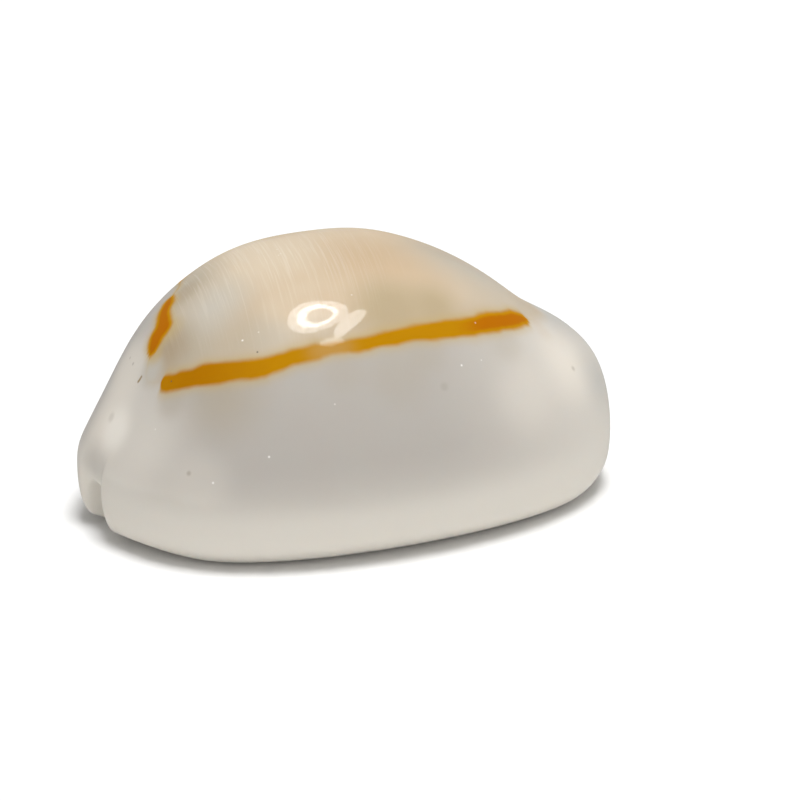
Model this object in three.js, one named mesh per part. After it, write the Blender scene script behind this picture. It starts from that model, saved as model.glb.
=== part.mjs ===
// Gold ringer cowrie shell: one grown piece, hollow, with a narrow toothed slot along its flat base.
// Millimetres, +Z up. +X points to the front end and -Y to the outer lip's side.
// The origin is the middle of the plane that the shell rests on.
import * as THREE from "three";
import { mergeVertices } from "three/addons/utils/BufferGeometryUtils.js";

// Overall size, and how far the front and rear canals cut back the margin between their two lobes.
const LENGTH = 24;
const WIDTH = 17;
const HEIGHT = 12;
const NOTCH_DEPTH = 0.45;
const NOTCH_ABOVE = 0.1; // the share of it that reaches the hump's lowest knot

// The margin is an oval, blunter than an ellipse and a little fuller at the rear.
// It is drawn past LENGTH because the canals take its two tips away.
const MARGIN_HALF_LENGTH = LENGTH / 2 + 0.18;
const MARGIN_HALF_WIDTH = WIDTH / 2;
const MARGIN_BLUNTNESS = 0.14;
const REAR_FULLNESS = 0.05;
const MARGIN_RISE = { side: 3, rear: 3.1, front: 3.2 };

// The hump falls from its top to the margin by these curves.
// Each knot is the share of the way out to the margin and the share of the height above it.
const HUMP_TOP = { x: -0.8, y: 0.2 };
const TO_SIDE = [[0, 1], [0.17, 1], [0.4, 0.965], [0.62, 0.84], [0.8, 0.625], [0.93, 0.355], [1, 0.08]];
const TO_REAR = [[0, 1], [0.17, 1], [0.37, 0.97], [0.57, 0.79], [0.75, 0.6], [0.865, 0.29], [0.97, 0.06]];
const TO_FRONT = [[0, 1], [0.17, 1], [0.37, 0.9], [0.57, 0.765], [0.735, 0.53], [0.855, 0.455], [0.97, 0.3]];

// Under the margin, each knot is the share of the way in to the slot and the share of the margin's rise.
// The base is flat between its knots, and each lip turns up into the slot by its knots' heights.
const UNDER_MARGIN = [[0, 1], [0.03, 0.5], [0.13, 0.13]];
const BASE_SHARES = [0.29, 0.43, 0.57, 0.74];
const LIP = [[0.92, 0.12], [1.02, 0.75], [1.03, 1.5], [0.97, 2.1]];
const LIP_TOP = 2.35;

// Both ends of the base rise a little, from this share of the half length outwards.
const END_RISE = 0.65;
const END_RISE_FROM = 0.6;

// The slot runs nearly straight, off the middle on the outer lip's side, and bends across at the rear.
// It is wider towards the front, and shorter inside than at the base.
const SLOT_HALF_LENGTH = { base: 10.8, inside: 9.2 };
const SLOT_Y = -0.9;
const SLOT_REAR_BEND = { by: 1.7, from: 0.35 };
const SLOT_FRONT_BEND = { by: 0.5, from: 0.6 };
const SLOT_HALF_GAP = { rear: 0.58, front: 0.92, canal: 0.8 };
const SLOT_END_ROUNDING = 0.16;

// The canals at the two ends, each from its mouth at the margin to its inside.
// A spread is a half width, as the sine of a turn, and a roof is a height.
const CANAL_SPREAD = [0.095, 0.14];
const FRONT_CANAL_ROOF = [2.9, 2.6];
const REAR_CANAL_ROOF = [2.3, 2.5];

// Teeth are the ridges left between grooves that cross both lips, in a stretch of the half length.
// Along a section, counted in knots from the margin, a groove starts on the base, reaches its full depth,
// turns from cutting upwards to cutting sideways round the lip's edge, and fades out inside the slot.
const OUTER_LIP_TEETH = 12;
const INNER_LIP_TEETH = 11;
const TEETH_FROM = -0.8;
const TEETH_TO = 0.84;
const GROOVE_DEPTH = 0.34;
const GROOVE_SHARPNESS = 1.3;
const GROOVE_START = { outer: 4.7, inner: 5.4 };
const GROOVE_FULL = 7.2;
const GROOVE_TURN = [6.2, 8.3];
const GROOVE_FADE = [9.5, 12.5];

// The hollow follows the outside at a smaller size.
const CROWN_WALL = 0.85;
const HOLLOW_HALF_LENGTH = 10.1;
const HOLLOW_HALF_WIDTH = 7.2;
const HOLLOW_RISE = 3.2;
const FLOOR_HEIGHT = 2;
const FLOOR_SHARES = { first: 0.08, last: 0.72, corner: 0.88 };
const FLOOR_CORNER_RISE = 0.85;

// The inner whorl rises from the inner lip and rolls over, as knots of y from the lip and z.
// It grows out of the floor between these two shares of the way across.
const WHORL = [
  [0.1, 3.5], [0, 5.4], [0.9, 6.9], [2.6, 7.3], [4.2, 6.7],
  [4.4, 5.8], [3.1, 5.8], [1.8, 5.5], [1.1, 4.4], [1.3, 3.1],
];
const WHORL_FROM = 0.2;
const WHORL_FULL = 0.9;

// Facets: columns on each side of the shell, columns beyond the teeth at each end, and steps between knots.
const COLUMNS_PER_SIDE = 58;
const COLUMNS_PER_TOOTH = 4;
const OUTSIDE_STEPS = 2;
const END_CROWDING = 1.6;

const mix = THREE.MathUtils.lerp;
const smooth = (low, high, value) => THREE.MathUtils.smoothstep(value, low, high);
const bendAt = ({ by, from }, along) => by * (Math.max(0, along - from) / (1 - from)) ** 2;

// Everything that depends on the direction from the middle, with forward = cos and across = sin of the turn.
function directionAt(turn) {
  const forward = Math.cos(turn);
  const across = Math.sin(turn);
  const front = forward > 0;
  const endness = Math.abs(forward) ** 3;
  return { forward, across, front, endness };
}

// 1 in the middle of a canal and 0 beside it. inward is 0 at the canal's mouth and 1 inside.
function canalAt({ forward, across }, inward) {
  const spread = mix(CANAL_SPREAD[0], CANAL_SPREAD[1], inward);
  return Math.abs(forward) > 0.5 ? Math.exp(-((across / spread) ** 4)) : 0;
}

function ovalPoint({ forward, across }, halfLength, halfWidth) {
  const fullness = (1 + MARGIN_BLUNTNESS * forward * forward) * (1 - REAR_FULLNESS * forward);
  return new THREE.Vector2(halfLength * forward, halfWidth * across * fullness);
}

function slotCentreY(forward) {
  return SLOT_Y + bendAt(SLOT_REAR_BEND, -forward) + bendAt(SLOT_FRONT_BEND, forward);
}

// depth is 0 at the base and 1 at the top of the lips.
function slotEdge({ forward, across }, depth) {
  const widening = mix(SLOT_HALF_GAP.rear, SLOT_HALF_GAP.front, smooth(-0.5, 0.6, forward));
  const halfGap = mix(widening, SLOT_HALF_GAP.canal, smooth(0.75, 1, forward));
  const side = across / Math.hypot(across, SLOT_END_ROUNDING);
  const halfLength = mix(SLOT_HALF_LENGTH.base, SLOT_HALF_LENGTH.inside, depth);
  return new THREE.Vector2(halfLength * forward, slotCentreY(forward) + halfGap * side);
}

// The hump's curve in one direction, from its top to the edge, for the outside and for the hollow.
function humpKnots(direction, edge, rise, top) {
  const toEnd = direction.front ? TO_FRONT : TO_REAR;
  return TO_SIDE.map(([sideReach, sideHeight], i) => {
    const reach = mix(sideReach, toEnd[i][0], direction.endness);
    const height = mix(sideHeight, toEnd[i][1], direction.endness);
    const x = mix(HUMP_TOP.x, edge.x, reach);
    const y = mix(HUMP_TOP.y, edge.y, reach);
    return { reach, point: new THREE.Vector3(x, y, mix(rise, top, height)) };
  });
}

// How far the shell's two tips lean sideways, to stand over the slot's ends.
function tipLean({ forward }) {
  return slotCentreY(forward) * Math.abs(forward) ** 8;
}

// A point of the outside with its tip's lean, which grows with its reach, and cut back where a canal leaves.
function shapedTip(point, direction, reach, cut) {
  point.x -= Math.sign(direction.forward) * NOTCH_DEPTH * canalAt(direction, 0) * cut;
  point.y += tipLean(direction) * reach ** 4;
  return point;
}

function outsideKnots(direction, margin, rise) {
  const knots = humpKnots(direction, margin, rise, HEIGHT);
  return knots.map(({ reach, point }) => shapedTip(point, direction, reach, NOTCH_ABOVE * reach ** 16));
}

function undersideKnots(direction, margin, rise) {
  const outer = shapedTip(margin.clone(), direction, 1, 1);
  const roof = direction.front ? FRONT_CANAL_ROOF : REAR_CANAL_ROOF;
  const endRise = END_RISE * smooth(END_RISE_FROM, 1, Math.abs(direction.forward)) ** 2;
  const path = [
    ...UNDER_MARGIN.map(([share, height]) => [share, rise * height, 0]),
    ...BASE_SHARES.map((share) => [share, 0, 0]),
    ...LIP.map(([share, height]) => [share, height, height / LIP.at(-1)[1]]),
  ];
  return path.map(([share, height, depth], i) => {
    const inward = i / (path.length - 1);
    const plan = outer.clone().lerp(slotEdge(direction, depth), share);
    const lifted = height + (i < UNDER_MARGIN.length - 1 ? 0 : endRise * (1 - inward));
    const roofHeight = mix(roof[0], roof[1], inward);
    return new THREE.Vector3(plan.x, plan.y, mix(lifted, roofHeight, canalAt(direction, inward)));
  });
}

// From the lip across the hollow's floor to its side. On the inner lip's side the floor rises into a ridge
// and rolls over into the inner whorl, by a lift and a roll that go from 0 at the ends to 1 in the middle.
function floorKnots(direction, lip, edge) {
  const roof = direction.front ? FRONT_CANAL_ROOF : REAR_CANAL_ROOF;
  const canal = canalAt(direction, 1);
  const lift = smooth(WHORL_FROM, WHORL_FULL, direction.across);
  const roll = lift ** 2;
  const knots = WHORL.map(([y, z], i) => {
    const share = mix(FLOOR_SHARES.first, FLOOR_SHARES.last, i / (WHORL.length - 1));
    const floor = mix(LIP_TOP, FLOOR_HEIGHT, smooth(0, 0.5, share));
    const height = mix(floor, mix(roof[1], HOLLOW_RISE, share), canal);
    const plan = new THREE.Vector2(lip.x, lip.y).lerp(edge, share);
    return new THREE.Vector3(plan.x, mix(plan.y, lip.y + y, roll), mix(height, z, lift));
  });
  const cornerPlan = new THREE.Vector2(lip.x, lip.y).lerp(edge, FLOOR_SHARES.corner);
  const corner = new THREE.Vector3(cornerPlan.x, cornerPlan.y, mix(FLOOR_HEIGHT, HOLLOW_RISE, canal));
  const sideHeight = HOLLOW_RISE * mix(FLOOR_CORNER_RISE, 1, canal);
  return [...knots, corner, new THREE.Vector3(edge.x, edge.y, sideHeight)];
}

function hollowKnots(direction, lip) {
  const edge = ovalPoint(direction, HOLLOW_HALF_LENGTH, HOLLOW_HALF_WIDTH);
  edge.y += tipLean(direction);
  const roof = humpKnots(direction, edge, HOLLOW_RISE, HEIGHT - CROWN_WALL).map(({ point }) => point);
  return [...floorKnots(direction, lip, edge), ...roof.reverse()];
}

// A uniform cubic B-spline. The end knots are repeated across the pole, so that all columns meet there flat.
function splinePoint(knots, span, part) {
  const acrossPole = (pole, next) => new THREE.Vector3(2 * pole.x - next.x, 2 * pole.y - next.y, next.z);
  const last = knots.length - 1;
  const at = (i) => {
    if (i < 0) return acrossPole(knots[0], knots[1]);
    if (i > last) return acrossPole(knots[last], knots[last - 1]);
    return knots[i];
  };
  const rest = 1 - part;
  const weights = [
    rest ** 3,
    3 * part ** 3 - 6 * part ** 2 + 4,
    3 * rest ** 3 - 6 * rest ** 2 + 4,
    part ** 3,
  ];
  const point = new THREE.Vector3();
  weights.forEach((weight, i) => point.addScaledVector(at(span - 1 + i), weight / 6));
  return point;
}

// How deep the grooves between the teeth are in one direction, from 0 on a tooth to 1.
function grooveAt({ forward, across }) {
  const count = across < 0 ? OUTER_LIP_TEETH : INNER_LIP_TEETH;
  const place = (count * (forward - TEETH_FROM)) / (TEETH_TO - TEETH_FROM);
  const fade = smooth(-0.6, 0.2, place) * (1 - smooth(count - 0.2, count + 0.6, place));
  return fade * (0.5 + 0.5 * Math.cos(2 * Math.PI * place)) ** GROOVE_SHARPNESS;
}

// Sinks a point that lies in a groove. place counts knots from the margin.
function cutGroove(point, direction, place) {
  const start = direction.across < 0 ? GROOVE_START.outer : GROOVE_START.inner;
  const strength = smooth(start, GROOVE_FULL, place) * (1 - smooth(GROOVE_FADE[0], GROOVE_FADE[1], place));
  const depth = GROOVE_DEPTH * grooveAt(direction) * strength;
  const turn = (Math.PI / 2) * smooth(GROOVE_TURN[0], GROOVE_TURN[1], place);
  point.z += depth * Math.cos(turn);
  point.y += Math.sign(direction.across) * depth * Math.sin(turn);
  return point;
}

// The whole section in one direction, from the hump's top round the lip to the top of the hollow.
function sectionPoints(turn) {
  const direction = directionAt(turn);
  const endRise = direction.front ? MARGIN_RISE.front : MARGIN_RISE.rear;
  const rise = mix(MARGIN_RISE.side, endRise, direction.endness);
  const margin = ovalPoint(direction, MARGIN_HALF_LENGTH, MARGIN_HALF_WIDTH);
  const outside = outsideKnots(direction, margin, rise);
  const underside = undersideKnots(direction, margin, rise);
  const knots = [...outside, ...underside, ...hollowKnots(direction, underside.at(-1))];
  const points = [];
  for (let span = 0; span < knots.length - 1; span++) {
    const steps = span < outside.length ? OUTSIDE_STEPS : 1;
    for (let step = 0; step < steps; step++) {
      const part = step / steps;
      points.push(cutGroove(splinePoint(knots, span, part), direction, span + part - outside.length));
    }
  }
  points.push(splinePoint(knots, knots.length - 1, 0));
  return points;
}

// Turns of the columns on one side, from the front to the rear, in step with that lip's teeth.
function columnTurns(teeth) {
  const toothColumns = teeth * COLUMNS_PER_TOOTH;
  const endColumns = (COLUMNS_PER_SIDE - toothColumns) / 2;
  const frontTurn = Math.acos(TEETH_TO);
  const rearTurn = Math.acos(TEETH_FROM);
  const turns = [];
  for (let i = 0; i < endColumns; i++) turns.push(frontTurn * (i / endColumns) ** END_CROWDING);
  for (let i = 0; i < toothColumns; i++) turns.push(Math.acos(mix(TEETH_TO, TEETH_FROM, i / toothColumns)));
  for (let i = endColumns; i > 0; i--) turns.push(mix(Math.PI, rearTurn, (i / endColumns) ** END_CROWDING));
  return turns;
}

function shellGeometry() {
  const innerSide = columnTurns(INNER_LIP_TEETH);
  const outerSide = [...columnTurns(OUTER_LIP_TEETH), Math.PI].reverse().map((turn) => 2 * Math.PI - turn);
  const sections = [...innerSide, ...outerSide].map(sectionPoints);
  const levels = sections[0].length - 1;
  const geometry = new THREE.SphereGeometry(1, sections.length - 1, levels);
  const position = geometry.getAttribute("position");
  for (let i = 0; i < position.count; i++) {
    const column = i % sections.length;
    const level = Math.floor(i / sections.length);
    const onPole = level === 0 || level === levels;
    const point = sections[onPole ? 0 : column % (sections.length - 1)][level];
    position.setXYZ(i, point.x, point.y, point.z);
  }
  geometry.deleteAttribute("normal");
  geometry.deleteAttribute("uv");
  const closed = mergeVertices(geometry);
  closed.computeVertexNormals();
  return closed;
}

const glazedShell = new THREE.MeshStandardMaterial({ color: 0xdccfb8, roughness: 0.15, metalness: 0 });
const shell = new THREE.Mesh(shellGeometry(), glazedShell);
shell.name = "cowrie_shell";

const group = new THREE.Group();
group.name = "gold_ringer_cowrie";
group.add(shell);

export default group;
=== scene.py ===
import math
from collections import namedtuple

import bmesh
import bpy
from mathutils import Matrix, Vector, kdtree, noise


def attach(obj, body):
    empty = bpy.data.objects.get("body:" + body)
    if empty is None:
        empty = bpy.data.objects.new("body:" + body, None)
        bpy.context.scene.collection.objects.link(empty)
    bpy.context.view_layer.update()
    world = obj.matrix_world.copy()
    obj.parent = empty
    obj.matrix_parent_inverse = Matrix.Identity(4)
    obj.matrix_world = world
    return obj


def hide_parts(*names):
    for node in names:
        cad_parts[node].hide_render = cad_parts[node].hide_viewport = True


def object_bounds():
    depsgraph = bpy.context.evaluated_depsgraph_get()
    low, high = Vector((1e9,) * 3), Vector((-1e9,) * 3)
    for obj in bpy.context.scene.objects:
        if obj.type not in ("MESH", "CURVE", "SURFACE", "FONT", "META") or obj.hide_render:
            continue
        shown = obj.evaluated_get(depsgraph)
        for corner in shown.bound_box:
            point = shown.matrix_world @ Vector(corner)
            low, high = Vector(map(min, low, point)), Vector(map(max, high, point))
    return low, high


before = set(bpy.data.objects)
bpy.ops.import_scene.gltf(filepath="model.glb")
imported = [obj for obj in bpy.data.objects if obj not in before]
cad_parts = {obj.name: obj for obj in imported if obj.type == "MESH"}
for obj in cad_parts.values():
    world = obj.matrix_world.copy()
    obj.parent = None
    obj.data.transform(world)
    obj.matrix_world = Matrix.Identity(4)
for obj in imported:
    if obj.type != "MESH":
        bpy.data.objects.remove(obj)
cad_low, cad_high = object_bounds()


# The shell is one hollow piece of layered lime, grown round a coil and closed by two thick, toothed lips.
# It was laid down coat on coat, so it has no join anywhere, and its last coat is a clear natural glaze.
# Its form is a fan of sections, each drawn from the hump's top round the margin and lip into the hollow.

# Sizes are in millimetres, with +X to the front end and -Y to the outer lip's side, as in the frame.
LENGTH = 24
WIDTH = 17
HEIGHT = 12
MM = (cad_high.z - cad_low.z) / HEIGHT
NOTCH_DEPTH = 0.45
NOTCH_ABOVE = 0.1

# The margin's knots lie a little past the shell's ends, because the curve cuts across their corner.
KNOTS_PAST_END = 0.18
MARGIN_HALF_LENGTH = LENGTH / 2 + KNOTS_PAST_END
MARGIN_HALF_WIDTH = WIDTH / 2
MARGIN_BLUNTNESS = 0.14
REAR_FULLNESS = 0.05
MARGIN_RISE_SIDE, MARGIN_RISE_REAR, MARGIN_RISE_FRONT = 3, 3.1, 3.2

# Powers that gather a change close to the two ends, or close to the margin.
END_POWER = 3
LEAN_END_POWER, LEAN_REACH_POWER = 8, 4
NOTCH_REACH_POWER = 16

# The hump's curves, as the share of the way out to the margin and the share of the height above it.
HUMP_TOP = Vector((-0.8, 0.2))
TO_SIDE = [(0, 1), (0.17, 1), (0.4, 0.965), (0.62, 0.84), (0.8, 0.625), (0.93, 0.355), (1, 0.08)]
TO_REAR = [(0, 1), (0.17, 1), (0.37, 0.97), (0.57, 0.79), (0.75, 0.6), (0.865, 0.29), (0.97, 0.06)]
TO_FRONT = [(0, 1), (0.17, 1), (0.37, 0.9), (0.57, 0.765), (0.735, 0.53), (0.855, 0.455), (0.97, 0.3)]

# The underside's curve, from the margin in to the slot, and each lip's curve up into it.
UNDER_MARGIN = [(0, 1), (0.03, 0.5), (0.13, 0.13)]
BASE_SHARES = [0.29, 0.43, 0.57, 0.74]
LIP = [(0.92, 0.12), (1.02, 0.75), (1.03, 1.5), (0.97, 2.1)]
LIP_TOP = 2.35
END_RISE = 0.65
END_RISE_FROM = 0.6

# The slot lies off the middle and bends aside towards each end, by a distance and from a share of the way.
# Its half length is given at the base and at the lips' top, and a canal's spread and roof at its mouth and
# inside.
SLOT_HALF_LENGTH = (10.8, 9.2)
SLOT_Y = -0.9
SLOT_REAR_BEND = (1.7, 0.35)
SLOT_FRONT_BEND = (0.5, 0.6)
SLOT_HALF_GAP_REAR, SLOT_HALF_GAP_FRONT, SLOT_HALF_GAP_CANAL = 0.58, 0.92, 0.8
SLOT_WIDENING = (-0.5, 0.6)
SLOT_INTO_CANAL = (0.75, 1)
SLOT_END_ROUNDING = 0.16
CANALS_FROM = 0.5
CANAL_SPREAD = (0.095, 0.14)
CANAL_SQUARENESS = 4
FRONT_CANAL_ROOF = (2.9, 2.6)
REAR_CANAL_ROOF = (2.3, 2.5)

# Teeth are the ridges between grooves. Their places along a section are counted in knots from the margin.
OUTER_LIP_TEETH = 12
INNER_LIP_TEETH = 11
TEETH_FROM = -0.8
TEETH_TO = 0.84
ROW_END_INSIDE, ROW_END_OUTSIDE = 0.2, 0.6
GROOVE_DEPTH = 0.34
GROOVE_SHARPNESS = 1.3
GROOVE_START_OUTER, GROOVE_START_INNER = 4.7, 5.4
GROOVE_FULL = 7.2
GROOVE_TURN = (6.2, 8.3)
GROOVE_FADE = (9.5, 12.5)

# The hollow, and the inner whorl that rolls over in it, as knots of y from the inner lip and z.
CROWN_WALL = 0.85
HOLLOW_HALF_LENGTH = 10.1
HOLLOW_HALF_WIDTH = 7.2
HOLLOW_RISE = 3.2
FLOOR_HEIGHT = 2
FLOOR_FIRST, FLOOR_LEVEL, FLOOR_LAST, FLOOR_CORNER = 0.08, 0.5, 0.72, 0.88
FLOOR_CORNER_RISE = 0.85
WHORL = [
    (0.1, 3.5), (0, 5.4), (0.9, 6.9), (2.6, 7.3), (4.2, 6.7),
    (4.4, 5.8), (3.1, 5.8), (1.8, 5.5), (1.1, 4.4), (1.3, 3.1),
]
WHORL_FROM, WHORL_FULL = 0.2, 0.9

# The mesh's columns, which crowd a little towards both ends, and its steps between knots.
COLUMNS = 560
END_CROWDING = 0.2
OUTSIDE_STEPS, UNDERSIDE_STEPS, FLOOR_STEPS, ROOF_STEPS = 11, 5, 2, 2

# No grown shell is as even as its drawing: it has slight waves, which bend the reflections in the glaze.
WAVE_LENGTH = 2.6
WAVE_HEIGHT = 0.014
WAVE_FADE = (0.95, 1.3)

Direction = namedtuple("Direction", "forward across endness")


def mix(first, second, share):
    return first + (second - first) * share


def smooth(low, high, value):
    share = min(max((value - low) / (high - low), 0), 1)
    return share * share * (3 - 2 * share)


def canal_at(direction, inward):
    """1 in the middle of an end's canal and 0 beside it. inward is 0 at its mouth and 1 inside."""
    if abs(direction.forward) < CANALS_FROM:
        return 0
    return math.exp(-((direction.across / mix(*CANAL_SPREAD, inward)) ** CANAL_SQUARENESS))


def oval_point(direction, half_length, half_width):
    forward, across, _ = direction
    fullness = (1 + MARGIN_BLUNTNESS * forward * forward) * (1 - REAR_FULLNESS * forward)
    return Vector((half_length * forward, half_width * across * fullness))


def bend_at(bend, along):
    by, start = bend
    return by * (max(0, along - start) / (1 - start)) ** 2


def slot_centre_y(forward):
    return SLOT_Y + bend_at(SLOT_REAR_BEND, -forward) + bend_at(SLOT_FRONT_BEND, forward)


def slot_edge(direction, depth):
    """A point of the slot's edge. depth is 0 at the base and 1 at the top of the lips."""
    forward, across, _ = direction
    widening = mix(SLOT_HALF_GAP_REAR, SLOT_HALF_GAP_FRONT, smooth(*SLOT_WIDENING, forward))
    half_gap = mix(widening, SLOT_HALF_GAP_CANAL, smooth(*SLOT_INTO_CANAL, forward))
    side = across / math.hypot(across, SLOT_END_ROUNDING)
    return Vector((mix(*SLOT_HALF_LENGTH, depth) * forward, slot_centre_y(forward) + half_gap * side))


def hump_knots(direction, edge, rise, top):
    """The hump's curve in one direction. A knot's fourth value is its share of the way out to the edge."""
    knots = []
    for side, end in zip(TO_SIDE, TO_FRONT if direction.forward > 0 else TO_REAR):
        reach = mix(side[0], end[0], direction.endness)
        height = mix(side[1], end[1], direction.endness)
        plan = HUMP_TOP.lerp(edge, reach)
        knots.append(Vector((plan.x, plan.y, mix(rise, top, height), reach)))
    return knots


def shaped_tip(point, direction, reach, cut):
    """Moves a point of the outside over the slot's end, and cuts it back where the canal leaves."""
    point.x -= math.copysign(NOTCH_DEPTH, direction.forward) * canal_at(direction, 0) * cut
    lean = abs(direction.forward) ** LEAN_END_POWER * reach ** LEAN_REACH_POWER
    point.y += slot_centre_y(direction.forward) * lean
    return point


def outside_knots(direction, margin, rise):
    knots = hump_knots(direction, margin, rise, HEIGHT)
    for knot in knots:
        shaped_tip(knot, direction, knot.w, NOTCH_ABOVE * knot.w ** NOTCH_REACH_POWER)
    return knots


def underside_knots(direction, margin, rise, roof):
    """From the margin to the top of the lip. The fourth value goes on from 1 to 2."""
    outer = shaped_tip(margin.copy(), direction, 1, 1)
    end_rise = END_RISE * smooth(END_RISE_FROM, 1, abs(direction.forward)) ** 2
    path = [(share, rise * height, 0) for share, height in UNDER_MARGIN]
    path += [(share, 0, 0) for share in BASE_SHARES]
    path += [(share, height, height / LIP[-1][1]) for share, height in LIP]
    knots = []
    for i, (share, height, depth) in enumerate(path):
        inward = i / (len(path) - 1)
        plan = outer.lerp(slot_edge(direction, depth), share)
        lifted = height if i < len(UNDER_MARGIN) - 1 else height + end_rise * (1 - inward)
        z = mix(lifted, mix(*roof, inward), canal_at(direction, inward))
        knots.append(Vector((plan.x, plan.y, z, 1 + (i + 1) / len(path))))
    return knots


def floor_knots(direction, lip, edge, roof):
    """From the lip over the hollow's floor, with the whorl on the inner side. Fourth values go on to 3."""
    canal = canal_at(direction, 1)
    lift = smooth(WHORL_FROM, WHORL_FULL, direction.across)
    knots = []
    for i, (y, z) in enumerate(WHORL):
        share = mix(FLOOR_FIRST, FLOOR_LAST, i / (len(WHORL) - 1))
        floor = mix(LIP_TOP, FLOOR_HEIGHT, smooth(0, FLOOR_LEVEL, share))
        height = mix(floor, mix(roof[1], HOLLOW_RISE, share), canal)
        plan = lip.xy.lerp(edge, share)
        knots.append(Vector((plan.x, mix(plan.y, lip.y + y, lift ** 2), mix(height, z, lift), 2 + share)))
    plan = lip.xy.lerp(edge, FLOOR_CORNER)
    knots.append(Vector((plan.x, plan.y, mix(FLOOR_HEIGHT, HOLLOW_RISE, canal), 2 + FLOOR_CORNER)))
    knots.append(Vector((edge.x, edge.y, HOLLOW_RISE * mix(FLOOR_CORNER_RISE, 1, canal), 3)))
    return knots


def spline_point(knots, span, part):
    """A uniform cubic B-spline. Its knots go on across both poles, so that all sections meet there flat."""
    def across_pole(pole, following):
        return Vector((
            2 * pole.x - following.x,
            2 * pole.y - following.y,
            following.z,
            2 * pole.w - following.w,
        ))

    def at(i):
        if i < 0:
            return across_pole(knots[0], knots[1])
        if i >= len(knots):
            return across_pole(knots[-1], knots[-2])
        return knots[i]

    rest = 1 - part
    weights = (
        rest ** 3,
        3 * part ** 3 - 6 * part ** 2 + 4,
        3 * rest ** 3 - 6 * rest ** 2 + 4,
        part ** 3,
    )
    point = Vector((0, 0, 0, 0))
    for i, weight in enumerate(weights):
        point += at(span - 1 + i) * (weight / 6)
    return point


def groove_at(direction):
    """How deep the grooves between the teeth are in one direction, from 0 on a tooth to 1."""
    count = OUTER_LIP_TEETH if direction.across < 0 else INNER_LIP_TEETH
    place = count * (direction.forward - TEETH_FROM) / (TEETH_TO - TEETH_FROM)
    fade_in = smooth(-ROW_END_OUTSIDE, ROW_END_INSIDE, place)
    fade_out = smooth(count - ROW_END_INSIDE, count + ROW_END_OUTSIDE, place)
    return fade_in * (1 - fade_out) * (0.5 + 0.5 * math.cos(2 * math.pi * place)) ** GROOVE_SHARPNESS


def groove_strength(direction, place):
    start = GROOVE_START_OUTER if direction.across < 0 else GROOVE_START_INNER
    return smooth(start, GROOVE_FULL, place) * (1 - smooth(*GROOVE_FADE, place))


def section_points(turn):
    """One whole section, and how deep a groove each point lies in. A point's fourth value is its way round:
    1 at the margin, 2 at the lip's top, 3 at the hollow's side and 4 at its roof."""
    forward, across = math.cos(turn), math.sin(turn)
    direction = Direction(forward, across, abs(forward) ** END_POWER)
    rise = mix(MARGIN_RISE_SIDE, MARGIN_RISE_FRONT if forward > 0 else MARGIN_RISE_REAR, direction.endness)
    roof = FRONT_CANAL_ROOF if forward > 0 else REAR_CANAL_ROOF
    margin = oval_point(direction, MARGIN_HALF_LENGTH, MARGIN_HALF_WIDTH)
    outside = outside_knots(direction, margin, rise)
    underside = underside_knots(direction, margin, rise, roof)
    inner_edge = oval_point(direction, HOLLOW_HALF_LENGTH, HOLLOW_HALF_WIDTH)
    inner_edge.y += slot_centre_y(forward) * abs(forward) ** LEAN_END_POWER
    floor = floor_knots(direction, underside[-1], inner_edge, roof)
    inner_roof = hump_knots(direction, inner_edge, HOLLOW_RISE, HEIGHT - CROWN_WALL)
    for knot in inner_roof:
        knot.w = 4 - knot.w
    knots = outside + underside + floor + inner_roof[::-1]
    steps = [OUTSIDE_STEPS] * len(outside) + [UNDERSIDE_STEPS] * len(underside)
    steps += [FLOOR_STEPS] * len(floor) + [ROOF_STEPS] * (len(inner_roof) - 1)
    depth = groove_at(direction)
    points = []
    grooves = []
    for span, count in enumerate(steps):
        for step in range(count):
            point = spline_point(knots, span, step / count)
            place = span + step / count - len(outside)
            groove = depth * groove_strength(direction, place)
            tilt = math.pi / 2 * smooth(*GROOVE_TURN, place)
            point.z += GROOVE_DEPTH * groove * math.cos(tilt)
            point.y += math.copysign(GROOVE_DEPTH * groove * math.sin(tilt), across)
            points.append(point)
            grooves.append(groove)
    points.append(spline_point(knots, len(knots) - 1, 0))
    grooves.append(0)
    return points, grooves


def column_turn(column):
    angle = 2 * math.pi * column / COLUMNS
    return angle - END_CROWDING * math.sin(2 * angle)


sections = [section_points(column_turn(column)) for column in range(COLUMNS)]
levels = len(sections[0][0]) - 1

# The ring's course, as turns from the front end in degrees and shares of the way out to the margin.
RING_COURSE = [
    (0, 0.768), (15, 0.77), (30, 0.762), (50, 0.742), (75, 0.715), (100, 0.688), (125, 0.662), (140, 0.636),
    (150, 0.605), (153, 0.606), (157, 0.62), (160, 0.637), (166, 0.654), (172, 0.666), (175.6, 0.679),
    (176.6, 0.706), (178.6, 0.725), (180, 0.739), (182, 0.765), (184.5, 0.79), (187, 0.801), (190, 0.797),
    (192.5, 0.7925), (195, 0.792), (198, 0.7865), (204.6, 0.772), (208, 0.763), (218, 0.7555), (228, 0.75),
    (237, 0.73), (244, 0.72), (249, 0.7165), (254, 0.7155), (260, 0.716), (264, 0.711), (274, 0.7075),
    (284, 0.712), (289, 0.715), (294, 0.722), (301, 0.719), (308, 0.72), (316, 0.7215), (320, 0.7235),
    (323, 0.7295), (330, 0.74), (345, 0.757), (360, 0.768),
]
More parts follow.
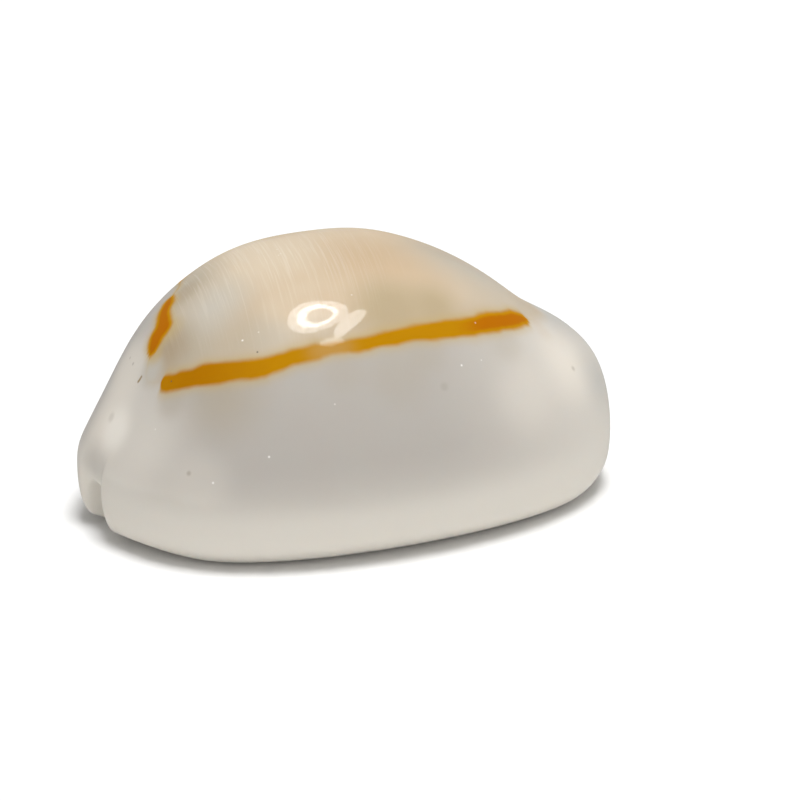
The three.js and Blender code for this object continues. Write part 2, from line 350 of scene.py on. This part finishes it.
# Half its width at turns along it. Where this is below nothing, the ring is broken off.
RING_HALF_WIDTH = [
    (0, -0.5), (26, -0.45), (36, 0.15), (50, 0.38), (62, 0.42), (75, 0.34), (95, 0.3), (112, 0.4),
    (128, 0.35), (138, 0.18), (146, -0.08), (156, -0.1), (158, 0.25), (160, 0.38), (163, 0.41), (168, 0.38),
    (171, 0.42), (175.6, 0.58), (177, 0.52), (179, 0.45), (180.3, 0.32), (181, 0.08), (182, -0.2),
    (185, -0.35), (192.6, -0.35), (193.1, 0.2), (193.9, 0.36), (195.6, 0.4), (198, 0.36), (204.6, 0.41),
    (208, 0.48), (213, 0.44), (220, 0.44), (226, 0.46), (231, 0.38), (235, 0.33), (241, 0.36),
    (244.3, 0.34), (246, 0.27), (248, 0.26), (250, 0.27), (254, 0.25), (257, 0.28), (262, 0.26),
    (269, 0.31), (276, 0.32), (282, 0.4), (290, 0.4), (300, 0.455), (308, 0.42), (313, 0.46),
    (317, 0.48), (320, 0.4), (323, 0.34), (324.6, 0.1), (325.4, -0.2), (330, -0.5), (360, -0.5),
]


def along_course(course, degrees):
    """The value of a course at a turn, in a straight line between its points."""
    for (low, first), (high, second) in zip(course, course[1:]):
        if low <= degrees <= high:
            return mix(first, second, (degrees - low) / (high - low))
    return course[-1][1]


ring_points = kdtree.KDTree(COLUMNS)
ring_reaches = []
ring_half_widths = []
for column, (points, _) in enumerate(sections):
    degrees = math.degrees(column_turn(column)) % 360
    reach = along_course(RING_COURSE, degrees)
    outer = next(i for i, point in enumerate(points) if point.w > reach)
    share = (reach - points[outer - 1].w) / (points[outer].w - points[outer - 1].w)
    ring_points.insert(points[outer - 1].xyz.lerp(points[outer].xyz, share), column)
    ring_reaches.append(reach)
    ring_half_widths.append(along_course(RING_HALF_WIDTH, degrees))
ring_points.balance()

# The mesh starts as a sphere with a column for each section, and its vertices are carried to the sections.
# Each keeps its way round, its groove and where it lies from the ring, for the colours to follow.
solid = bmesh.new()
bmesh.ops.create_uvsphere(solid, u_segments=COLUMNS, v_segments=levels, radius=1)
way_round = solid.verts.layers.float.new("way_round")
tooth_groove = solid.verts.layers.float.new("tooth_groove")
from_ring = solid.verts.layers.float.new("from_ring")
ring_half_width = solid.verts.layers.float.new("ring_half_width")
for vertex in solid.verts:
    level = round(math.acos(min(max(vertex.co.z, -1), 1)) / math.pi * levels)
    column = round(math.atan2(vertex.co.y, vertex.co.x) / (2 * math.pi) * COLUMNS) % COLUMNS
    points, grooves = sections[column]
    point = points[level]
    _, nearest, distance = ring_points.find(point.xyz)
    vertex[way_round] = point.w
    vertex[tooth_groove] = grooves[level]
    vertex[from_ring] = math.copysign(distance, point.w - ring_reaches[column])
    vertex[ring_half_width] = ring_half_widths[nearest]
    vertex.co = point.xyz
solid.normal_update()
for vertex in solid.verts:
    wave = noise.noise(vertex.co / WAVE_LENGTH) * (1 - smooth(*WAVE_FADE, vertex[way_round]))
    vertex.co += vertex.normal * wave * WAVE_HEIGHT
for face in solid.faces:
    face.smooth = True
bmesh.ops.scale(solid, vec=(MM, MM, MM), verts=solid.verts)
mesh = bpy.data.meshes.new("glazed_shell")
solid.to_mesh(mesh)
solid.free()
shell = bpy.data.objects.new("glazed_shell", mesh)
bpy.context.collection.objects.link(shell)


# The glaze's colours, chosen by measuring the photograph: a cream and peach back inside a golden ring, lilac
# grey sides outside it, cream ends, a white base and teeth and a violet hollow.
# Some of these colours hold painted light, shade and reflection, as said where they are laid on.
finish = bpy.data.materials.new("glazed_shell")
finish.use_nodes = True
tree = finish.node_tree
surface = tree.nodes["Principled BSDF"]

# A Mix node has its sockets once for each kind of data, and these are the ones for colours.
MIX_INPUTS = (0, 6, 7)
MIX_OUTPUT = 2


def feed(socket, value):
    if isinstance(value, bpy.types.NodeSocket):
        tree.links.new(value, socket)
    else:
        socket.default_value = value


def calculate(operation, *values):
    made = tree.nodes.new("ShaderNodeMath")
    made.operation = operation
    for socket, value in zip(made.inputs, values):
        feed(socket, value)
    return made.outputs["Value"]


def ease(value, low, high, start=0.0, end=1.0):
    """A level that eases from start to end as a value goes from low to high."""
    made = tree.nodes.new("ShaderNodeMapRange")
    made.interpolation_type = "SMOOTHSTEP"
    settings = {"Value": value, "From Min": low, "From Max": high, "To Min": start, "To Max": end}
    for name, setting in settings.items():
        feed(made.inputs[name], setting)
    return made.outputs["Result"]


def tint(share, under, over):
    """A share of one colour laid over another."""
    made = tree.nodes.new("ShaderNodeMix")
    made.data_type = "RGBA"
    for socket, value in zip(MIX_INPUTS, (share, under, over)):
        feed(made.inputs[socket], (*value, 1) if isinstance(value, tuple) else value)
    return made.outputs[MIX_OUTPUT]


def mark(name):
    made = tree.nodes.new("ShaderNodeAttribute")
    made.attribute_name = name
    return made.outputs["Fac"]


def stretched(vector, size, turn=0.0, shift=(0, 0, 0)):
    """Coordinates that run from 0 to 1 over a size, with the whole shifted and turned about Z."""
    made = tree.nodes.new("ShaderNodeMapping")
    made.vector_type = "TEXTURE"
    tree.links.new(vector, made.inputs["Vector"])
    made.inputs["Scale"].default_value = size
    made.inputs["Rotation"].default_value = (0, 0, turn)
    made.inputs["Location"].default_value = shift
    return made.outputs["Vector"]


def clouds(vector, scale, detail=2.0, roughness=0.5):
    made = tree.nodes.new("ShaderNodeTexNoise")
    tree.links.new(vector, made.inputs["Vector"])
    made.inputs["Scale"].default_value = scale
    made.inputs["Detail"].default_value = detail
    made.inputs["Roughness"].default_value = roughness
    return made.outputs["Fac"]


def patch(centre, radius, edge=1.0):
    """1 at a soft round patch's centre and 0 from its radius on. Its edge is a share of the radius."""
    made = tree.nodes.new("ShaderNodeVectorMath")
    made.operation = "DISTANCE"
    tree.links.new(place, made.inputs[0])
    made.inputs[1].default_value = centre
    return ease(made.outputs["Value"], radius, radius * (1 - edge))


def with_patches(under, patches):
    """A colour with soft round patches on it. Each has a centre, a radius, a strength and a colour."""
    for centre, radius, strength, over in patches:
        share = patch(centre, radius)
        if strength < 1:
            share = ease(share, 0, 1, 0, strength)
        under = tint(share, under, over)
    return under


coordinates = tree.nodes.new("ShaderNodeTexCoord")
place = stretched(coordinates.outputs["Object"], (MM, MM, MM))

PEACH = (0.56, 0.42, 0.275)
CREAM = (0.66, 0.55, 0.41)
GREY_TAN = (0.46, 0.40, 0.31)
SAND = (0.49, 0.435, 0.355)
OLIVE_TAN = (0.47, 0.375, 0.24)
DARK_TAN = (0.40, 0.32, 0.22)
PALE_TAN = (0.56, 0.51, 0.43)
LILAC_GREY = (0.46, 0.43, 0.39)
PINK_GREY = (0.46, 0.42, 0.38)
PEARL_GREY = (0.50, 0.48, 0.44)
BUFF_GREY = (0.43, 0.38, 0.31)
IVORY = (0.62, 0.58, 0.52)
WARM_WHITE = (0.70, 0.65, 0.575)
PALE_WHITE = (0.82, 0.78, 0.71)
BASE_WHITE = (0.70, 0.66, 0.59)
GROOVE_BUFF = (0.56, 0.46, 0.33)
HOLLOW_VIOLET = (0.38, 0.31, 0.37)
GOLD = (0.475, 0.217, 0.002)
BROWN_GOLD = (0.42, 0.165, 0.001)
DEEP_ORANGE = (0.44, 0.135, 0.001)
HALO_TAN = (0.50, 0.36, 0.15)
STREAK_CREAM = (0.79, 0.735, 0.645)
SPECK_WHITE = (0.86, 0.84, 0.80)
SPECK_DARK = (0.10, 0.09, 0.07)
SPOT_BROWN = (0.33, 0.28, 0.22)
SCRATCH_BROWN = (0.26, 0.18, 0.08)

way = mark("way_round")
ring_distance = mark("from_ring")
half_width = mark("ring_half_width")

# The back is a cloud of cream and peach, with broad patches on it, two of them painted shade at its edges
# where it turns away from the light, and greyer towards the ring. Smaller patches come on top, first at the
# rear, one of them painted shade by the rim there, then olive ones with a narrower edge, which are a painted
# reflection of something dark in the glaze, then faint touches, one of them painted shade on the far rim.
CLOUD_EDGES = (0.35, 0.65)
PEACH_IN_CLOUD = 0.6
NEAR_RING = (-2.2, -0.2)
GREY_NEAR_RING = 0.5
BROAD_ON_BACK = [
    ((0.4, -2.0, 11.7), 5.5, 1, PEACH),
    ((-4.2, 0.0, 11.6), 4.0, 1, CREAM),
    ((-8.2, -1.6, 9.0), 4.6, 1, GREY_TAN),
    # Painted shade: the back is darker here at its upper left edge, where it turns away from the light.
    ((-6.8, 2.0, 10.2), 3.2, 1, GREY_TAN),
    # Painted shade: the back is darker here towards its right edge, where it turns away from the light.
    ((5.4, -1.6, 10.0), 5.0, 1, SAND),
]
REAR_ON_BACK = [
    ((-6.8, -1.0, 10.2), 2.6, 1, PALE_TAN),
    ((-8.8, -0.8, 8.6), 2.1, 1, DARK_TAN),
    # Painted shade: darker still by the rim at the rear.
    ((-7.0, 1.7, 10.1), 1.4, 0.5, DARK_TAN),
]
# Painted reflection: the olive patches stand for something dark mirrored in the glaze.
OLIVE_REFLECTION_ON_BACK = [((-0.2, -5.0, 10.5), 2.6, 0.8), ((1.9, -5.0, 10.3), 2.1, 0.9)]
TOUCHES_ON_BACK = [
    # Painted shade: the first touch darkens the far rim.
    ((4.8, 0.8, 10.8), 3.0, 0.5, GREY_TAN),
    ((-5.6, -4.5, 9.8), 1.8, 0.4, PALE_TAN),
    ((-6.2, -3.9, 9.8), 2.0, 0.5, GREY_TAN),
    ((-8.4, 0.1, 9.15), 1.3, 0.4, HALO_TAN),
]
broad = clouds(place, scale=0.23, detail=2)
back = tint(ease(broad, *CLOUD_EDGES, 0, PEACH_IN_CLOUD), CREAM, PEACH)
back = with_patches(back, BROAD_ON_BACK)
back = tint(ease(ring_distance, *NEAR_RING, 0, GREY_NEAR_RING), back, GREY_TAN)
back = with_patches(back, REAR_ON_BACK)
# The olive patches are a painted reflection.
for centre, radius, edge in OLIVE_REFLECTION_ON_BACK:
    back = tint(patch(centre, radius, edge), back, OLIVE_TAN)
back = with_patches(back, TOUCHES_ON_BACK)

# Fine growth streaks run across the back, leaning a little to the rear.
STREAK_SIZE = (0.075, 3.4, 3.4)
STREAK_LEAN = -0.22
STREAK_EDGES = (0.47, 0.72)
STREAK_STRENGTH = 0.32
STREAKED_PART = ((-3.8, 0.2, 11.3), 7.2)
grain = clouds(stretched(place, STREAK_SIZE, STREAK_LEAN), scale=1.0, detail=2, roughness=0.6)
streak = calculate("MULTIPLY", ease(grain, *STREAK_EDGES), patch(*STREAKED_PART))
back = tint(calculate("MULTIPLY", streak, STREAK_STRENGTH), back, STREAK_CREAM)

# The sides are a cloud of lilac and pinkish grey, partly their own tone and partly painted shade, where less
# light reaches them. They turn cream towards both ends and paler on the bosses there, partly their own
# colour and partly painted light where more light falls on the ends, and a little warmer close under the
# ring.
PINK_IN_CLOUD = 0.5
ON_SIDES = [
    ((-8.0, -4.6, 7.6), 3.0, 1, BUFF_GREY),
    ((-0.6, -6.8, 8.3), 2.6, 0.4, BUFF_GREY),
    ((-11.2, 0.2, 5.6), 4.6, 1, IVORY),
    ((-10.8, -2.2, 4.9), 4.0, 1, IVORY),
    ((8.7, -4.6, 6.4), 9.5, 1, IVORY),
    ((-11.0, 0.9, 5.0), 2.4, 1, WARM_WHITE),
    # Painted light: these two patches make the left end lighter, where more light falls on it.
    ((-9.9, 1.4, 7.0), 3.0, 0.7, WARM_WHITE),
    ((-11.1, 0.1, 4.9), 1.8, 0.6, PALE_WHITE),
    ((8.4, -4.9, 6.6), 2.6, 1, WARM_WHITE),
    ((5.6, -6.8, 6.2), 3.0, 0.4, WARM_WHITE),
    ((-9.5, -5.5, 4.0), 2.6, 0.35, WARM_WHITE),
    ((9.4, -0.8, 7.4), 3.0, 1, PEARL_GREY),
    ((10.6, -3.9, 5.2), 2.4, 1, PEARL_GREY),
    ((-9.5, -2.6, 6.9), 1.4, 0.6, BUFF_GREY),
    ((-3.1, -6.5, 8.5), 1.6, 0.35, BUFF_GREY),
    ((1.0, -6.4, 8.8), 1.6, 0.4, BUFF_GREY),
    ((5.1, -5.6, 8.5), 1.8, 0.35, BUFF_GREY),
]
fine = clouds(stretched(place, (1, 1, 1), shift=(7, 3, 0)), scale=0.7, detail=3)
sides = tint(ease(fine, *CLOUD_EDGES, 0, PINK_IN_CLOUD), LILAC_GREY, PINK_GREY)
sides = with_patches(sides, ON_SIDES)

# Back and sides join under the ring, and its broken ends have soft patches of their own.
JOIN = (-0.4, 0.55)
AT_RING_ENDS = [
    ((7.7, -3.8, 8.1), 1.2, 0.2, PEACH),
    ((-9.6, -0.5, 7.6), 1.3, 0.8, PEARL_GREY),
    ((-9.2, -0.2, 8.1), 0.8, 0.5, HALO_TAN),
]
colour = tint(ease(ring_distance, *JOIN), back, sides)
colour = with_patches(colour, AT_RING_ENDS)

# The ring has a wavy edge with a tan halo. It is browner at the rear, deep orange along the middle at its
# two ends, and paler in one place, a painted highlight where the small reflector's gleam lies over it. Its
# edges are distances inside its outline.
RING_WOBBLE = 0.24
HALO_EDGE = (-0.75, 0.1)
HALO_STRENGTH = 0.7
RING_EDGE = (-0.17, 0.11)
DEEP_EDGE = (0.1, 0.26)
PALER_UNDER_GLEAM_LEVEL = 0.72
BROWNER_AT = ((-8.6, -3.0, 8.2), 4.5)
DEEP_AT_FRONT = ((5.4, -4.7, 9.1), 3.2, 0.6)
DEEP_AT_REAR = ((-8.4, 1.2, 9.1), 3.0, 0.6)
PALER_UNDER_GLEAM_AT = ((-3.4, -5.8, 9.4), 1.8)
wobble = calculate("SUBTRACT", clouds(place, scale=0.95, detail=2, roughness=0.45), 0.5)
inside_ring = calculate("SUBTRACT", half_width, calculate("ABSOLUTE", ring_distance))
inside_ring = calculate("MULTIPLY_ADD", wobble, RING_WOBBLE, inside_ring)
halo = calculate("POWER", ease(inside_ring, *HALO_EDGE), 2.0)
colour = tint(calculate("MULTIPLY", halo, HALO_STRENGTH), colour, HALO_TAN)
ring_colour = tint(patch(*BROWNER_AT), GOLD, BROWN_GOLD)
deep = calculate("MAXIMUM", patch(*DEEP_AT_FRONT), patch(*DEEP_AT_REAR))
ring_colour = tint(calculate("MULTIPLY", deep, ease(inside_ring, *DEEP_EDGE)), ring_colour, DEEP_ORANGE)
# Painted highlight: the ring is paler where the small reflector's gleam lies over it.
paler_under_gleam = ease(patch(*PALER_UNDER_GLEAM_AT), 0, 1, 1, PALER_UNDER_GLEAM_LEVEL)
ring = calculate("MULTIPLY", paler_under_gleam, ease(inside_ring, *RING_EDGE))
colour = tint(ring, colour, ring_colour)

# Small marks: dark specks, soft spots and a scratch of four dots in a row in the glaze, and white specks
# that are painted glints on it, three of them on fine scratches on the top. The first soft spot, on the left
# end, is painted shade. Specks of one kind share a radius and a strength, and each spot has its own.
GLINT_SPECK = (0.09, 0.9)
FAINT_SPECK = (0.07, 0.5)
DARK_SPECK = (0.07, 1)
SCRATCH_DOT = (0.12, 1)
# Painted glints: white specks that stand for small bright reflections on the glaze.
GLINT_SPECKS = [(-6.67, -3.77, 9.64), (2.46, -6.68, 8.06), (-6.84, -6.92, 5.35), (-9.06, -5.94, 4.17)]
# Painted glints too; the last three lie on fine scratches on the top.
FAINT_SPECKS = [
    (-5.99, -3.96, 9.98), (3.53, -6.44, 8.06), (-10.28, -2.49, 5.67), (-3.79, -7.08, 7.35),
    (-1.64, -4.15, 11.11), (3.76, -5.35, 9.41), (-3.05, 0.65, 11.92), (-3.14, 0.07, 11.92),
    (-3.28, -0.04, 11.91),
]
DARK_SPECKS = [(-6.33, -4.59, 9.32), (-9.33, -2.1, 7.62), (-7.4, 2.51, 9.7)]
SOFT_SPOTS = [
    # The first soft spot is painted shade on the left end.
    ((-10.94, 0.92, 5.2), 0.42, 0.25), ((-9.78, -4.98, 4.4), 0.2, 0.6), ((1.39, -7.19, 7.4), 0.34, 0.3),
    ((8.83, -4.83, 6.35), 0.22, 0.4), ((-9.73, 1.26, 7.4), 0.14, 0.6), ((-9.6, 1.89, 7.45), 0.12, 0.5),
]
SCRATCH = [(-9.87, 0.0, 7.22), (-9.92, 0.01, 7.13), (-9.96, 0.03, 7.06), (-9.99, 0.06, 7.0)]
colour = with_patches(colour, [(centre, *GLINT_SPECK, SPECK_WHITE) for centre in GLINT_SPECKS])
colour = with_patches(colour, [(centre, *FAINT_SPECK, SPECK_WHITE) for centre in FAINT_SPECKS])
colour = with_patches(colour, [(centre, *DARK_SPECK, SPECK_DARK) for centre in DARK_SPECKS])
colour = with_patches(colour, [(*spot, SPOT_BROWN) for spot in SOFT_SPOTS])
colour = with_patches(colour, [(centre, *SCRATCH_DOT, SCRATCH_BROWN) for centre in SCRATCH])

# The base is white from the margin on, with buff between the teeth, and the hollow is violet past the lips.
BASE_FROM = (0.95, 1.15)
HOLLOW_FROM = (1.9, 2.3)
BUFF_STRENGTH = 0.5
colour = tint(ease(way, *BASE_FROM), colour, BASE_WHITE)
colour = tint(calculate("MULTIPLY", mark("tooth_groove"), BUFF_STRENGTH), colour, GROOVE_BUFF)
colour = tint(ease(way, *HOLLOW_FROM), colour, HOLLOW_VIOLET)

# The glaze is a clear coat, weaker over the ring, on a softer body that lets a little light in.
COAT_ON_SHELL, COAT_ON_RING = 0.3, 0.14
GRAIN_HEIGHT = 0.0007
tree.links.new(colour, surface.inputs["Base Color"])
surface.inputs["Roughness"].default_value = 0.28
surface.inputs["IOR"].default_value = 1.55
surface.inputs["Specular IOR Level"].default_value = 0
feed(surface.inputs["Coat Weight"], ease(ring, 0, 1, COAT_ON_SHELL, COAT_ON_RING))
surface.inputs["Coat Roughness"].default_value = 0.035
surface.inputs["Coat IOR"].default_value = 1.4
surface.inputs["Subsurface Weight"].default_value = 0.15
surface.inputs["Subsurface Radius"].default_value = (1.0, 0.75, 0.55)
surface.inputs["Subsurface Scale"].default_value = 0.35 * MM

growth = tree.nodes.new("ShaderNodeBump")
growth.inputs["Strength"].default_value = 1
growth.inputs["Distance"].default_value = GRAIN_HEIGHT * MM
tree.links.new(grain, growth.inputs["Height"])
tree.links.new(growth.outputs["Normal"], surface.inputs["Normal"])

mesh.materials.append(finish)
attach(shell, "root")
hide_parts("cowrie_shell")


# The floor is a plain white studio sweep of paper, wide enough to pass out of every view. The glaze doesn't
# mirror it, because a mirrored floor makes the rim pale.
FLOOR_RADIUS = 2.5
PAPER_WHITE = (0.93, 0.93, 0.93, 1)
sweep = bmesh.new()
bmesh.ops.create_circle(sweep, cap_ends=True, segments=64, radius=FLOOR_RADIUS)
floor_mesh = bpy.data.meshes.new("floor")
sweep.to_mesh(floor_mesh)
sweep.free()
floor = bpy.data.objects.new("floor", floor_mesh)
bpy.context.collection.objects.link(floor)
paper = bpy.data.materials.new("white_paper")
paper.use_nodes = True
paper_surface = paper.node_tree.nodes["Principled BSDF"]
paper_surface.inputs["Base Color"].default_value = PAPER_WHITE
paper_surface.inputs["Roughness"].default_value = 1
paper_surface.inputs["Specular IOR Level"].default_value = 0
floor_mesh.materials.append(paper)
floor.visible_glossy = False


# The light is soft white from all round, with less from above and from behind. A round lamp high above adds
# to it and shows in the glaze, and two reflectors beside the lamp show there too.
WALL_STRENGTH = 0.88
CEILING_STRENGTH = 0.4
CEILING_FROM = (0.05, 0.6)
BEHIND_SHARE = 0.45
BEHIND_FROM = (-0.1, 0.6)
world = bpy.data.worlds.new("white_studio")
world.use_nodes = True
studio = world.node_tree
way_out = studio.nodes.new("ShaderNodeSeparateXYZ")
studio.links.new(studio.nodes.new("ShaderNodeTexCoord").outputs["Generated"], way_out.inputs["Vector"])


def wall_level(axis, low, high, start, end):
    """A level that eases from start to end as the way out goes from low to high along one axis."""
    made = studio.nodes.new("ShaderNodeMapRange")
    made.interpolation_type = "SMOOTHSTEP"
    studio.links.new(way_out.outputs[axis], made.inputs["Value"])
    for name, setting in (("From Min", low), ("From Max", high), ("To Min", start), ("To Max", end)):
        made.inputs[name].default_value = setting
    return made.outputs["Result"]


wall = studio.nodes.new("ShaderNodeMath")
wall.operation = "MULTIPLY"
studio.links.new(wall_level("Z", *CEILING_FROM, WALL_STRENGTH, CEILING_STRENGTH), wall.inputs[0])
studio.links.new(wall_level("Y", *BEHIND_FROM, 1, BEHIND_SHARE), wall.inputs[1])
studio.links.new(wall.outputs["Value"], studio.nodes["Background"].inputs["Strength"])
studio.nodes["Background"].inputs["Color"].default_value = (1, 1, 1, 1)
bpy.context.scene.world = world

LAMP_HEIGHT = 2010 * MM


def overhead_lamp(name, middle, half_size, turn, brightness):
    """An elliptical lamp that faces down from high above and doesn't show in the picture itself."""
    made = bpy.data.lights.new(name, "AREA")
    made.shape = "ELLIPSE"
    made.size, made.size_y = 2 * Vector(half_size) * MM
    area = math.pi * made.size * made.size_y / 4
    made.energy = brightness * math.pi * area
    lamp = bpy.data.objects.new(name, made)
    lamp.location = (middle[0] * MM, middle[1] * MM, LAMP_HEIGHT)
    lamp.rotation_euler = (0, 0, math.radians(turn))
    lamp.visible_camera = False
    bpy.context.collection.objects.link(lamp)
    return lamp


# The round lamp is made twice. One lights the shell, and the other shows in its glaze with a bright ring on
# it. The first stands a little higher, as a ray that meets it would miss the other in the same place.
LAMP_MIDDLE, LAMP_HALF_SIZE = (112, -205), (475, 505)
LAMP_BRIGHTNESS = 15
LAMP_RAISE = 20
GLEAM_BRIGHTNESS = 70
GLEAM_EDGE, GLEAM_MIDDLE = 0.34, 0.17
GLEAM_SOFTNESS = 0.06
lit_by = overhead_lamp("round_lamp", LAMP_MIDDLE, LAMP_HALF_SIZE, 0, LAMP_BRIGHTNESS)
lit_by.visible_glossy = False
lit_by.location.z += LAMP_RAISE * MM
gleam = overhead_lamp("round_lamp_gleam", LAMP_MIDDLE, LAMP_HALF_SIZE, 0, GLEAM_BRIGHTNESS)
gleam.visible_diffuse = False
gleam.data.use_nodes = True
gleam_tree = gleam.data.node_tree
gleam_place = gleam_tree.nodes.new("ShaderNodeNewGeometry").outputs["Parametric"]


def lamp_disc(middle, radius, inside, outside):
    """One level inside a disc on the lamp and another outside it. Places are in the lamp's half sizes."""
    reach = gleam_tree.nodes.new("ShaderNodeVectorMath")
    reach.operation = "DISTANCE"
    reach.inputs[1].default_value = (0.5 + middle[0] / 2, 0.5 + middle[1] / 2, 0)
    gleam_tree.links.new(gleam_place, reach.inputs[0])
    level = gleam_tree.nodes.new("ShaderNodeMapRange")
    level.interpolation_type = "SMOOTHSTEP"
    gleam_tree.links.new(reach.outputs["Value"], level.inputs["Value"])
    level.inputs["From Min"].default_value = (radius - GLEAM_SOFTNESS) / 2
    level.inputs["From Max"].default_value = (radius + GLEAM_SOFTNESS) / 2
    level.inputs["To Min"].default_value = inside
    if isinstance(outside, bpy.types.NodeSocket):
        gleam_tree.links.new(outside, level.inputs["To Max"])
    else:
        level.inputs["To Max"].default_value = outside
    return level.outputs["Result"]


# The lamp's rim is dim, then comes the bright ring, and inside it the lamp is dim again.
BRIGHT_DISC = ((0.04, 0), 0.7)
DIM_DISC = ((0.15, -0.04), 0.46)
bright_part = lamp_disc(*BRIGHT_DISC, 1, GLEAM_EDGE)
glow = lamp_disc(*DIM_DISC, GLEAM_MIDDLE, bright_part)
gleam_tree.links.new(glow, gleam_tree.nodes["Emission"].inputs["Strength"])

# The reflectors show as a slanted second gleam, with a fainter one at its foot. Each has a middle, half
# sizes, a turn in degrees and a brightness.
REFLECTORS = {
    "long_reflector": ((538, -668), (432, 124), 65, 26),
    "small_reflector": ((245, -1130), (215, 115), -8, 21),
}
for name, settings in REFLECTORS.items():
    overhead_lamp(name, *settings).visible_diffuse = False

# Colours are shown as they are, with no film look, so that the paper stays white.
bpy.context.scene.view_settings.view_transform = "Standard"


# The camera stands where the photograph was taken from: on the outer lip's side, a little above and far off.
# It is aimed so that the shell's middle comes to the pixel where the photograph has it.
CAMERA_AZIMUTH = math.radians(-25)
CAMERA_ELEVATION = math.radians(20)
CAMERA_DISTANCE = 290 * MM
PIXELS_PER_MM = 22.5
PICTURE_SIDE = 800
MIDDLE_PIXEL = Vector((346.7, 392.1))
MIDDLE_HEIGHT = 5 * MM
camera_data = bpy.data.cameras.new("camera")
camera = bpy.data.objects.new("camera", camera_data)
bpy.context.collection.objects.link(camera)
back_way = Vector((
    math.sin(CAMERA_AZIMUTH) * math.cos(CAMERA_ELEVATION),
    -math.cos(CAMERA_AZIMUTH) * math.cos(CAMERA_ELEVATION),
    math.sin(CAMERA_ELEVATION),
))
right_way = Vector((math.cos(CAMERA_AZIMUTH), math.sin(CAMERA_AZIMUTH), 0))
up_way = back_way.cross(right_way)
off_middle = (Vector((PICTURE_SIDE, PICTURE_SIDE)) / 2 - MIDDLE_PIXEL) / PIXELS_PER_MM * MM
aim = Vector((0, 0, MIDDLE_HEIGHT)) + right_way * off_middle.x - up_way * off_middle.y
camera.location = aim + back_way * CAMERA_DISTANCE
camera.rotation_euler = back_way.to_track_quat("Z", "Y").to_euler()
camera_data.sensor_width = 36
camera_data.lens = camera_data.sensor_width * CAMERA_DISTANCE * PIXELS_PER_MM / (PICTURE_SIDE * MM)
camera_data.clip_start = 0.01
bpy.context.scene.camera = camera
